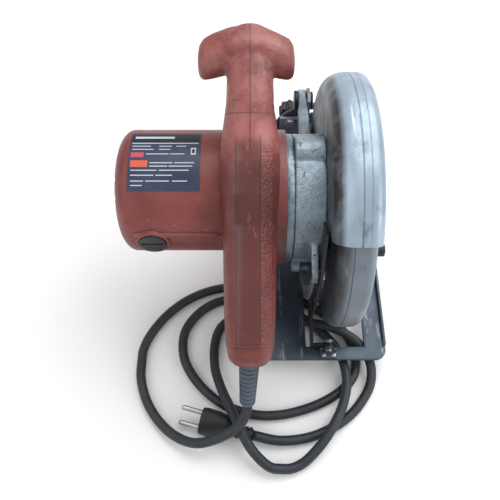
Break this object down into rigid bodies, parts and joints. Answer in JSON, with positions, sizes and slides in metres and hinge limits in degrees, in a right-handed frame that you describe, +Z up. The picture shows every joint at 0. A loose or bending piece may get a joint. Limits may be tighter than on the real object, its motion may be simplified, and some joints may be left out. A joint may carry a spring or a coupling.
{
  "type": "circular saw",
  "caption": "Corded circular saw with a tilting steel shoe, a depth arc, a sprung lower guard over the blade, a closed motor case and a sloping rear grip.",
  "frame": {"origin": "under the middle of the saw without its cord, on the surface that it stands on", "axes": "+X towards the blade side, +Y forward in the direction of the cut, +Z up"},
  "size_m": [0.2128, 0.3498, 0.2276],
  "materials": {
    "red_housing": "satin, worn",
    "red_grip": "satin, worn and slightly glossy",
    "cast_alloy": "sand cast, pitted",
    "guard_alloy": "cast, matt",
    "lower_alloy": "smooth satin",
    "shoe_steel": "worn and scratched",
    "bracket_steel": "worn",
    "black_steel": "satin",
    "bright_steel": "satin",
    "blade_steel": "brushed",
    "black_plastic": "matt",
    "label_foil": "semi-gloss",
    "copper": "enamelled wire",
    "carbon": "matt",
    "lamination": "matt",
    "cord_rubber": "matt",
    "plug_rubber": "matt",
    "relief_rubber": "matt",
    "lead_wire": "gloss"
  },
  "bodies": {
    "shoe": {"shoe_plate": "shoe_steel", "bevel_quadrant": "shoe_steel", "rear_hinge_lug": "shoe_steel", "shoe_rivets": "bright_steel", "fence_clamp_block": "shoe_steel", "bevel_pins": "bright_steel", "power_cord": "cord_rubber", "plug_body": "plug_rubber", "plug_pins": "bright_steel", "plug_relief": "plug_rubber"},
    "fence_screw": {"fence_clamp_screw": "black_steel"},
    "bracket": {"front_bracket": "bracket_steel", "depth_arc": "black_steel", "bevel_bolt": "bright_steel"},
    "bevel_knob": {"bevel_knob": "black_plastic"},
    "head": {"motor_housing": "red_housing", "rating_label": "label_foil", "brush_caps": "black_plastic", "brush_holders": "copper", "carbon_brushes": "carbon", "stator_core": "lamination", "field_windings": "copper", "motor_bearings": "bright_steel", "gear_case": "cast_alloy", "bearing_plate": "cast_alloy", "gear_case_screws": "bright_steel", "arbor_bearing": "bright_steel", "arbor_bush": "copper", "upper_guard": "guard_alloy", "guard_spring": "bright_steel", "pivot_screw": "black_steel", "depth_bolt": "bright_steel", "handle_left": "red_grip", "handle_right": "red_grip", "handle_screws": "black_steel", "trigger_spring": "bright_steel", "switch_body": "black_plastic", "switch_leads": "lead_wire", "cord_clamp": "black_plastic", "strain_relief": "relief_rubber"},
    "armature": {"armature_shaft": "bright_steel", "armature_core": "lamination", "commutator": "copper", "cooling_fan": "black_plastic"},
    "arbor": {"arbor_shaft": "bright_steel", "drive_gear": "bright_steel", "inner_flange": "bright_steel", "blade": "blade_steel", "outer_flange": "bright_steel", "blade_bolt": "bright_steel"},
    "lower_guard": {"lower_guard": "lower_alloy", "guard_lever": "black_plastic"},
    "depth_lever": {"depth_lever": "black_steel"},
    "trigger": {"trigger": "black_plastic"}
  },
  "joints": [
    {"name": "bevel_tilt", "type": "hinge", "parent": "shoe", "child": "bracket", "pos_m": [0.05725, -0.01034, 0.025], "axis": [0, 1, 0], "range_deg": [0, 45], "deforming": ["power_cord"]},
    {"name": "depth_swing", "type": "hinge", "parent": "bracket", "child": "head", "pos_m": [0.04125, 0.11466, 0.088], "axis": [1, 0, 0], "range_deg": [-6, 12]},
    {"name": "blade_spin", "type": "hinge", "parent": "head", "child": "arbor", "pos_m": [0.06325, -0.01034, 0.0985], "axis": [1, 0, 0], "continuous": true},
    {"name": "armature_spin", "type": "hinge", "parent": "head", "child": "armature", "pos_m": [-0.03875, -0.01534, 0.125], "axis": [1, 0, 0], "continuous": true},
    {"name": "guard_swing", "type": "hinge", "parent": "head", "child": "lower_guard", "pos_m": [0.05325, -0.01034, 0.0985], "axis": [-1, 0, 0], "range_deg": [0, 120], "stiffness_Nm_per_rad": 0.12, "springref_deg": -51.57},
    {"name": "trigger_press", "type": "slide", "parent": "head", "child": "trigger", "axis": [0, -0.5592, 0.829], "range_m": [0, 0.006], "stiffness_N_per_m": 900, "springref_m": -0.002, "deforming": ["trigger_spring"]},
    {"name": "depth_lever_turn", "type": "hinge", "parent": "head", "child": "depth_lever", "pos_m": [0.03125, -0.07909, 0.11008], "axis": [1, 0, 0], "range_deg": [0, 50]},
    {"name": "bevel_knob_turn", "type": "hinge", "parent": "bracket", "child": "bevel_knob", "pos_m": [0.03125, 0.13966, 0.047], "axis": [0, 1, 0], "continuous": true},
    {"name": "fence_screw_turn", "type": "hinge", "parent": "shoe", "child": "fence_screw", "pos_m": [0.01045, 0.13806, 0.03], "axis": [0, 0, 1], "range_deg": [-80, 80]}
  ],
  "couplings": [
    {"joint": "armature_spin", "follows": "blade_spin", "ratio": -3.8889}
  ]
}
